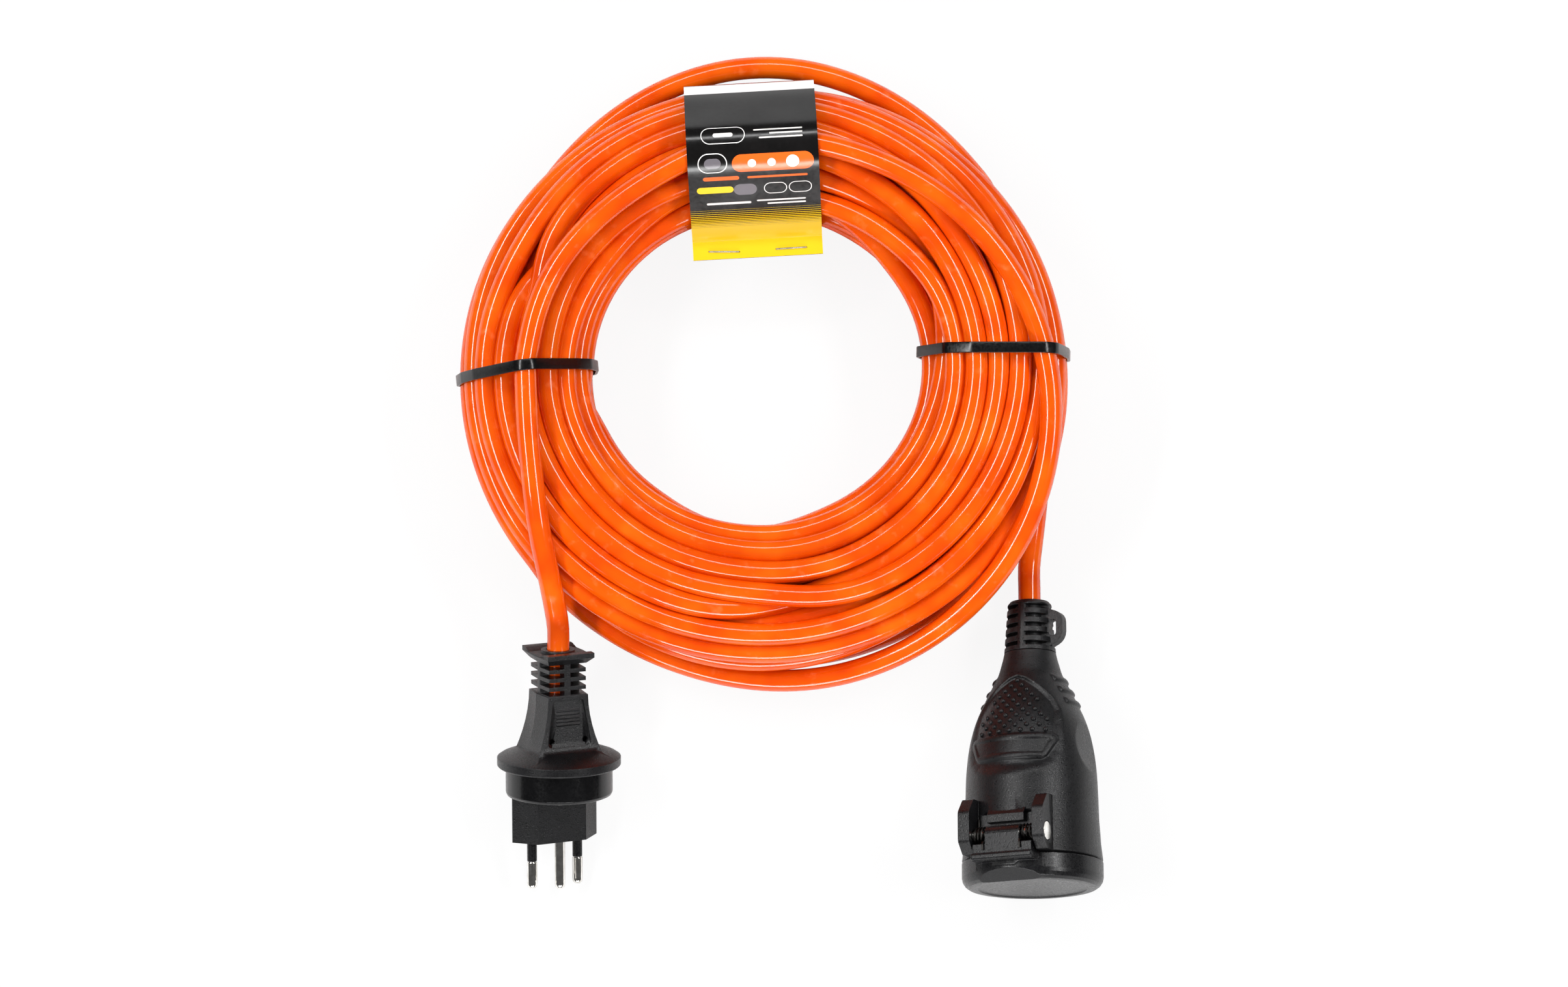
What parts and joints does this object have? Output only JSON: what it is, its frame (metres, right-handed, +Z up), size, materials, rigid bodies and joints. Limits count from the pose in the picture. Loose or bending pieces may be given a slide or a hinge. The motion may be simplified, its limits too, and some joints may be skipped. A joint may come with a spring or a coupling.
{
  "type": "extension cord",
  "caption": "Coiled outdoor extension cord: round orange cable tied in a ring, an earthed plug with a sealing flange, and a bottle-shaped coupling with a spring-closed hinged cover.",
  "frame": {"origin": "on the table under the middle of the coupling", "axes": "+Z up, +Y from the coupling to the coil, +X from the plug to the coupling"},
  "size_m": [0.2485, 0.3224, 0.0669],
  "materials": {
    "cable_orange": "glossy orange polyurethane sheath",
    "black_plastic": "fine spark-eroded grain",
    "satin_black_plastic": "satin",
    "gloss_black_plastic": "glossy",
    "black_rubber": "matte",
    "nickel": "bright nickel plate",
    "bright_steel": "bright",
    "brass": "plain",
    "core_brown": "plain insulation",
    "core_blue": "plain insulation",
    "core_green_yellow": "plain insulation",
    "card_label": "printed card"
  },
  "bodies": {
    "cord": {"cable_coil": "cable_orange", "cable_tie_left": "gloss_black_plastic", "cable_tie_right": "gloss_black_plastic", "cable_to_coupling": "cable_orange", "cable_to_plug": "cable_orange", "coil_core": "cable_orange", "contact_earth": "brass", "contact_holder": "black_plastic", "contact_live": "brass", "contact_neutral": "brass", "core_earth": "core_green_yellow", "core_live": "core_brown", "core_neutral": "core_blue", "coupling_housing": "black_plastic", "coupling_strain_relief": "black_plastic", "hinge_pin": "bright_steel", "label_sleeve": "card_label", "lid_spring": "bright_steel", "lid_spring_left": "bright_steel", "pin_earth": "nickel", "pin_live": "nickel", "pin_neutral": "nickel", "plug_body": "black_plastic", "plug_nose": "black_plastic", "plug_ring": "gloss_black_plastic", "sheath_in_coupling": "cable_orange", "sheath_in_plug": "cable_orange", "sleeve_live": "black_plastic", "sleeve_neutral": "black_plastic", "socket_insert": "black_plastic"},
    "lid": {"lid_cap": "satin_black_plastic", "lid_gasket": "black_rubber"}
  },
  "joints": [
    {"name": "lid_hinge", "type": "hinge", "parent": "cord", "child": "lid", "pos_m": [-0.01048, -0.03272, 0.05399], "axis": [-0.9033, -0.0745, -0.4224], "range_deg": [0, 110], "stiffness_Nm_per_rad": 0.02, "springref_deg": -57.3, "deforming": ["lid_spring", "lid_spring_left"]}
  ]
}
